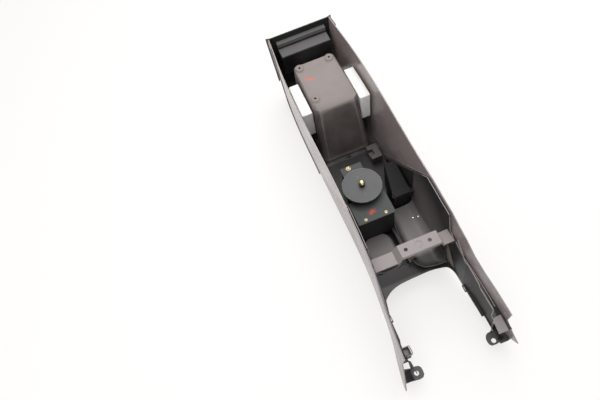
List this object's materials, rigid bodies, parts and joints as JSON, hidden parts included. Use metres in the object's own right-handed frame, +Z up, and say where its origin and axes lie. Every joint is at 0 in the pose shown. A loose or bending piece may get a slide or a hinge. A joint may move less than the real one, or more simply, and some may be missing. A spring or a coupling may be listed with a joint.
{
  "type": "car center console",
  "caption": "Long car center console with storage bin, armrest lid, rotary drive, cross bracket, tipping rear ashtray and an open U-shaped front, resting upside down.",
  "frame": {"origin": "centre of the bounding box's base, on the bench under the upturned console", "axes": "+Y towards the rear end, +Z up out of the open underside, +X to the right when looking from the open front"},
  "size_m": [0.2884, 1.046, 0.26],
  "materials": {
    "body_plastic": "fine grain, dull",
    "panel_plastic": "fine grain, satin outside",
    "trim_plastic": "satin",
    "rear_plastic": "satin",
    "rear_housing_plastic": "dull",
    "ashtray_plastic": "satin",
    "bin_plastic": "fine grain, dull",
    "foam": "closed-cell foam, dull",
    "lid_plastic": "satin",
    "lid_leather": "grained",
    "pin_steel": "drawn",
    "latch_plastic": "satin",
    "bracket_plastic": "dull",
    "housing_plastic": "dull",
    "plate_metal": "dull coat",
    "disc_metal": "satin coat, bright edge",
    "spindle_steel": "blackened",
    "bush_brass": "turned",
    "nut_brass": "turned, polished",
    "knob_plastic": "glossy",
    "screw_brass": "polished",
    "box_plastic": "dull",
    "hook_plastic": "dull"
  },
  "bodies": {
    "console": {"front_body": "body_plastic", "front_tray": "body_plastic", "side_panel_left": "panel_plastic", "side_panel_right": "panel_plastic", "front_trim_left": "trim_plastic", "front_trim_right": "trim_plastic", "rear_panel": "rear_plastic", "rear_housing": "rear_housing_plastic", "storage_bin": "bin_plastic", "foam_block_left": "foam", "foam_block_right": "foam", "hinge_pin": "pin_steel", "cross_bracket": "bracket_plastic", "drive_housing": "housing_plastic", "drive_plate": "plate_metal", "bush_upper": "bush_brass", "bush_lower": "bush_brass", "plate_screw_large": "screw_brass", "plate_screws_small": "screw_brass", "accessory_box": "box_plastic", "hook_block": "hook_plastic"},
    "lid": {"lid_shell": "lid_plastic", "lid_pad": "lid_leather"},
    "latch": {"lid_latch": "latch_plastic"},
    "drive": {"drive_disc": "disc_metal", "spindle": "spindle_steel", "cap_nut": "nut_brass", "rotary_knob": "knob_plastic"},
    "ashtray": {"rear_ashtray": "ashtray_plastic"}
  },
  "joints": [
    {"name": "lid_hinge", "type": "hinge", "parent": "console", "child": "lid", "pos_m": [0, 0.492, 0.013], "axis": [1, 0, 0], "range_deg": [0, 80]},
    {"name": "latch_slide", "type": "slide", "parent": "lid", "child": "latch", "axis": [0, 1, 0], "range_m": [0, 0.0035], "stiffness_N_per_m": 300, "springref_m": -0.002},
    {"name": "drive_turn", "type": "hinge", "parent": "console", "child": "drive", "pos_m": [-0.0338, -0.026, 0.15], "axis": [0, 0, 1], "continuous": true},
    {"name": "ashtray_tip", "type": "hinge", "parent": "console", "child": "ashtray", "pos_m": [0, 0.512, 0.2284], "axis": [1, 0, 0], "range_deg": [0, 36]}
  ]
}
